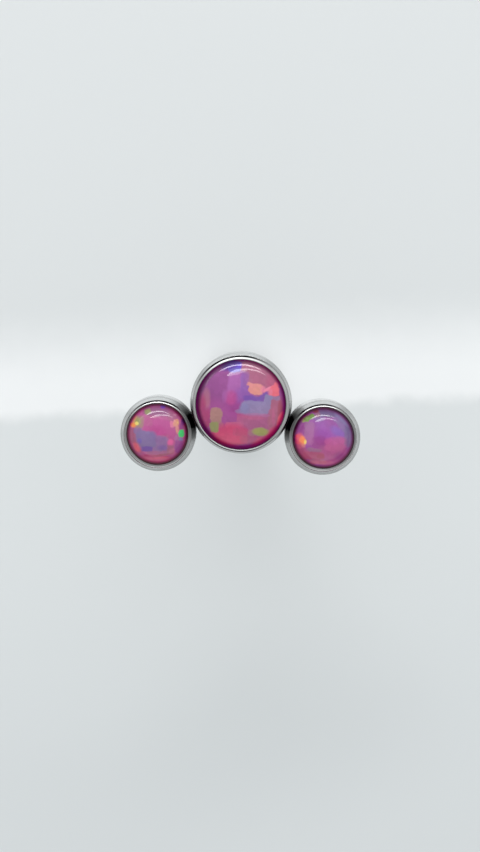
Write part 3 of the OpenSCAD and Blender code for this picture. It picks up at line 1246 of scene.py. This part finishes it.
# %% Chart the right stone
RIGHT_CHART = [
    ("mauve", -0.49, 0.16, 0.15, 0.35, 0, "block", 0.7, 0.7),
    ("lilac", 0.45, 0.24, 0.26, 0.12, -30, "oval", 0.6, 0.8),
    ("smoke", 0.12, 0.83, 0.40, 0.12, 0, "block", 0.5, 0.85),
    ("grey violet", 0.65, 0.49, 0.18, 0.22, 40, "block", 0.6, 0.7),
    ("grey violet", 0.81, 0.10, 0.14, 0.33, 0, "block", 0.5, 0.8),
    ("grey violet", -0.18, 0.67, 0.16, 0.10, 0, "oval", 0.6, 0.7),
    ("grey violet", 0.40, 0.66, 0.12, 0.10, 0, "oval", 0.6, 0.6),
    ("ash", -0.24, 0.77, 0.08, 0.08, 0, "oval", 0.6, 0.7),
    ("moss", -0.66, 0.57, 0.09, 0.06, 40, "oval", 0.5, 0.9),
    ("lime", -0.50, 0.66, 0.18, 0.08, 28, "block", 0.5, 0.95),
    ("brick", -0.25, 0.76, 0.08, 0.08, 10, "block", 0.5, 0.3),
    ("wine", -0.30, 0.87, 0.09, 0.05, 16, "oval", 0.5, 0.9),
    ("plum", -0.16, -0.10, 0.22, 0.17, 0, "block", 0.8, 0.6),
    ("heather", 0.30, -0.51, 0.43, 0.30, 0, "block", 0.6, 0.6),
    ("magenta", 0.33, -0.49, 0.35, 0.24, 0, "oval", 0.7, 0.5),
    ("pink", 0.39, -0.14, 0.33, 0.22, 6, "block", 0.6, 0.75),
    ("ember", -0.80, -0.08, 0.12, 0.15, 0, "block", 0.5, 1.0),
    ("magenta", -0.86, -0.10, 0.05, 0.07, 0, "oval", 0.6, 0.6),
    ("coral", -0.75, -0.05, 0.10, 0.17, 10, "oval", 0.6, 0.9),
    ("orange", -0.69, -0.10, 0.09, 0.14, 0, "oval", 0.6, 1.0),
    ("yellow", -0.60, -0.13, 0.04, 0.07, 0, "oval", 0.5, 1.0),
    ("ash", -0.30, -0.38, 0.22, 0.07, 0, "block", 0.6, 0.7),
    ("claret", -0.31, -0.58, 0.33, 0.13, 0, "block", 0.5, 0.9),
    ("claret", -0.68, -0.46, 0.14, 0.28, 34, "oval", 0.7, 0.85),
    ("brick", -0.09, -0.57, 0.11, 0.08, 0, "block", 0.35, 0.4),
    ("dusty rose", -0.15, -0.78, 0.26, 0.08, 0, "block", 0.5, 0.85),
    # A painted reflection: the faint pink band across the near edge of the dome
    ("pink flash", 0.00, -0.80, 0.36, 0.07, 0, "oval", 0.7, 0.4),
    ("coral", -0.77, -0.25, 0.07, 0.10, 0, "oval", 0.7, 0.35),
    ("salmon", -0.65, -0.25, 0.06, 0.06, 0, "oval", 0.7, 0.5),
    ("plum", 0.57, -0.55, 0.18, 0.12, 0, "oval", 0.6, 0.6),
    ("smoke", 0.82, 0.26, 0.15, 0.42, 0, "oval", 0.6, 0.35),
    ("smoke", -0.84, 0.42, 0.06, 0.20, -30, "oval", 0.7, 0.5),
    ("slate", 0.92, 0.20, 0.07, 0.45, 0, "oval", 0.6, 0.6),
    ("slate", 0.60, 0.66, 0.34, 0.10, -42, "oval", 0.6, 0.7),
]
print(f"right stone: {len(RIGHT_CHART)} domains")

# %% [markdown]
# ## From chart to stone
#
# An entry's mask is drawn on coordinates that drift a little, and a block's are also pulled
# towards the centres of small random cells, which gives the stepped borders. Towards its rim one
# looks through more stone, which filters out the green first, so the colour deepens to purple, and
# the rim is also painted darker, as painted shade where the dome runs under its cup. The near half
# is painted a little warmer and the far half a little darker, as painted light falling in from the
# far side. Volume absorption would deepen the colour too, but would take far more light samples. A
# clear polish lies over it all.

# %% Finish the opals
CELLS_PER_MM = 8.0
CELL_PULL = 0.26
DRIFT = 0.06
MASK_OUTER = 2.2
MASK_INNER = 1.5
GLINT = 0.04
POLISH_HEIGHT = 0.0003
# Each tint and shade: its centre, the shares of the edge's radius between which it sets in, its
# colour
# Rows centred near the axis deepen the rim to purple and darken it as painted shade; rows centred 3
# mm off it paint the near half warmer and the far half darker, as painted light.
CENTRE_TINTS_AND_SHADES = [
    ((0.01, 0.05), 0.865, 0.98, (0.56, 0.03, 0.44, 1)),
    ((0.05, -0.03), 0.9, 0.985, (0.46, 0.48, 0.48, 1)),
    ((0, 3), 1.9, 2.25, (1.13, 1, 1, 1)),
    ((0, -3), 2.15, 2.35, (0.94, 0.93, 0.95, 1)),
]
SIDE_RIM_TINTS_AND_SHADES = [
    ((0, 0), 0.84, 0.965, (0.6, 0.05, 0.38, 1)),
    ((0, 0), 0.92, 0.97, (0.32, 0.1, 0.25, 1)),
]
LEFT_TINTS_AND_SHADES = SIDE_RIM_TINTS_AND_SHADES + [((0, -3), 3.1, 3.4, (0.93, 0.95, 0.97, 1))]
RIGHT_TINTS_AND_SHADES = SIDE_RIM_TINTS_AND_SHADES + [
    ((0, 3), 2.9, 3.2, (1.13, 1, 1, 1)),
    ((0, -3), 3.1, 3.6, (0.88, 0.95, 0.92, 1)),
]


def domains(gem, paint, wavy, stepped, chart):
    """Lay a chart's domains over the paint. With x and y counted in half sizes, an oval's mask
    fades with x squared + y squared, and a block's with the sum of their fourth powers."""
    for hue, x, y, half_width, half_height, turn, shape, softness, share in chart:
        steps = {
            "Vector": stepped if shape == "block" else wavy,
            "Location": (x, y, 0),
            "Rotation": (0, 0, math.radians(turn)),
            "Scale": (half_width, half_height, 1),
        }
        spot = gem.node("Mapping", steps, vector_type="TEXTURE")
        if shape == "block":
            spot = gem.vector("MULTIPLY", spot, spot)
        spread = gem.vector("DOT_PRODUCT", spot, spot, "Value")
        outer, inner = 1 + softness * MASK_OUTER, max(0, 1 - softness * MASK_INNER)
        paint = gem.mix(gem.ramp(spread, outer, inner, 0, share), paint, PALETTE[hue])
    return paint


def tinted_and_shaded(gem, paint, place, edge, tints_and_shades):
    """Multiply the paint by each tint's colour, beyond a distance from its centre: the deeper rim
    and its painted shade, and the painted light on the two halves.
    """
    for centre, start, end, tint_colour in tints_and_shades:
        outward = length(gem, gem.vector("SUBTRACT", place, (*centre, 0)))
        paint = gem.mix(gem.ramp(outward, start * edge, end * edge), paint, tint_colour, "MULTIPLY")
    return paint


def opal(name, node, body, depths, chart, tints_and_shades):
    """Opal for one stone: a cloudy body between two colours, the chart's domains over it, a slight
    glint from cell to cell, and over them all the deeper rim with its painted shade, and painted
    light on the two halves."""
    gem = Finish(name)
    stone = stones[node]
    place = level_from(gem, stone["axis"] + np.array(OFF_CENTRE[node]), -ROLL)
    drift = gem.vector("SUBTRACT", gem.noise(place, 4.0, 2.0, "Color"), (0.5, 0.5, 0.5))
    wavy = gem.vector("ADD", place, gem.vector("MULTIPLY", drift, (DRIFT, DRIFT, 0)))
    cells = {"Vector": wavy, "Scale": CELLS_PER_MM}
    cell = gem.node("TexVoronoi", cells, "Position", voronoi_dimensions="2D")
    tint = gem.node("TexVoronoi", cells, "Color", voronoi_dimensions="2D")
    pull = gem.vector("MULTIPLY", gem.vector("SUBTRACT", cell, wavy), (CELL_PULL, CELL_PULL, 0))
    stepped = gem.vector("ADD", wavy, pull)

    cloud = gem.ramp(gem.noise(stepped, 1.1, 1.0), 0.35, 0.65)
    paint = gem.mix(cloud, PALETTE[body], PALETTE[depths])
    paint = domains(gem, paint, wavy, stepped, chart)
    glint = gem.node("SeparateXYZ", {0: tint}, "X")
    glint = {"Value": gem.ramp(glint, 0, 1, 1 - GLINT, 1 + GLINT), "Color": paint}
    paint = gem.node("HueSaturation", glint)
    cloudy = gem.noise(place, 2.4, 3.0)
    values = {
        "Base Color": tinted_and_shaded(gem, paint, place, stone["edge"], tints_and_shades),
        "Roughness": gem.ramp(cloudy, 0.3, 0.7, 0.22, 0.34),
        "Specular IOR Level": 0.0,
        "Coat Weight": 1.0,
        "Coat Roughness": 0.05,
        "Coat IOR": 1.45,
        "Coat Normal": gem.bump(cloudy, 0.2, POLISH_HEIGHT),
    }
    gem.finish(opals[node], values)
    print(f"{name}: {len(gem.tree.nodes)} nodes")


opal("opal, centre", "opal_centre", "purple", "plum", CENTRE_CHART, CENTRE_TINTS_AND_SHADES)
opal("opal, left", "opal_left", "rose", "pink", LEFT_CHART, LEFT_TINTS_AND_SHADES)
opal("opal, right", "opal_right", "amethyst", "purple", RIGHT_CHART, RIGHT_TINTS_AND_SHADES)

# %% [markdown]
# ## The floor's finish
#
# The floor is a pale board, matt, with the faintest grain. Its colour carries painted light: it is
# painted a little darker in front, with one soft painted pool of light just behind the stud, so the
# background isn't a dead even tone. A few centimetres away it is painted dark, because the stones'
# steep rims mirror it there and are dark: it paints their dark reflection. A gradient texture could
# do that too, but a few smooth steps say at which distance each change lies.

# %% Finish the floor
SHADED_FRONT_BOARD = (0.72, 0.745, 0.752, 1)
NEAR_BOARD = (0.76, 0.785, 0.79, 1)
FAR_BOARD = (0.745, 0.765, 0.77, 1)
PAINTED_LIGHT_POOL = (0.92, 0.93, 0.935, 1)
PAINTED_DARK_FAR_OFF = (0.3, 0.31, 0.32, 1)
BOARD_TURN = math.radians(4)
# Where each change starts and ends, in millimetres towards the far side or from the post's axis
NEAR_STEP = (-15, -3)
BAND_STEP = (-0.7, 0.0)
BAND_END = (4.0, 0.6)
DIM_STEP = (20, 30)
BAND_RAGGED = 0.6

board = Finish("pale board")
on_board = local(board, (0, 0), BOARD_TURN)
grain = board.noise(on_board, 0.8, 3.0)
ahead = board.node("SeparateXYZ", {0: on_board}, "Y")
ahead = board.number("ADD", ahead, board.number("MULTIPLY", grain, BAND_RAGGED))
# Painted light: darker in front, a painted pool of light behind the stud, painted dark far off
pale = board.mix(board.ramp(ahead, *NEAR_STEP), SHADED_FRONT_BOARD, NEAR_BOARD)
pale = board.mix(board.ramp(ahead, *BAND_STEP), pale, FAR_BOARD)
light_pool = board.number("MULTIPLY", board.ramp(ahead, *BAND_STEP), board.ramp(ahead, *BAND_END))
pale = board.mix(light_pool, pale, PAINTED_LIGHT_POOL)
pale = board.mix(board.ramp(length(board, on_board), *DIM_STEP), pale, PAINTED_DARK_FAR_OFF)
tooth = board.ramp(grain, 0.3, 0.7, 0.6, 0.7)
board.finish(floor, {"Base Color": pale, "Roughness": tooth, "Specular IOR Level": 0.2})
print(f"board: {len(board.tree.nodes)} nodes, dim beyond {DIM_STEP[1]} mm")

# %% [markdown]
# ## Tie the pieces to the frame
#
# Each finished piece stands for the CAD solid of the same form and rides with the one body. The
# table of sizes written last lets anyone compare the dressed stud with the CAD model.

# %% Ride and replace
for thing, node, slot in [
    (setting, "setting", "polished_titanium"),
    (post, "labret_post", "polished_titanium"),
    *[(opals[node], node, "pink_opal") for node in stones],
]:
    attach(thing, "root")
    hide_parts(node)

visual_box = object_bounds()
boxes = {
    "cad": [list(corner) for corner in cad_box],
    "visual": [list(corner) for corner in visual_box],
}
for name, (low, high) in boxes.items():
    print(name, "box in mm:", [round((b - a) / MM, 3) for a, b in zip(low, high)])
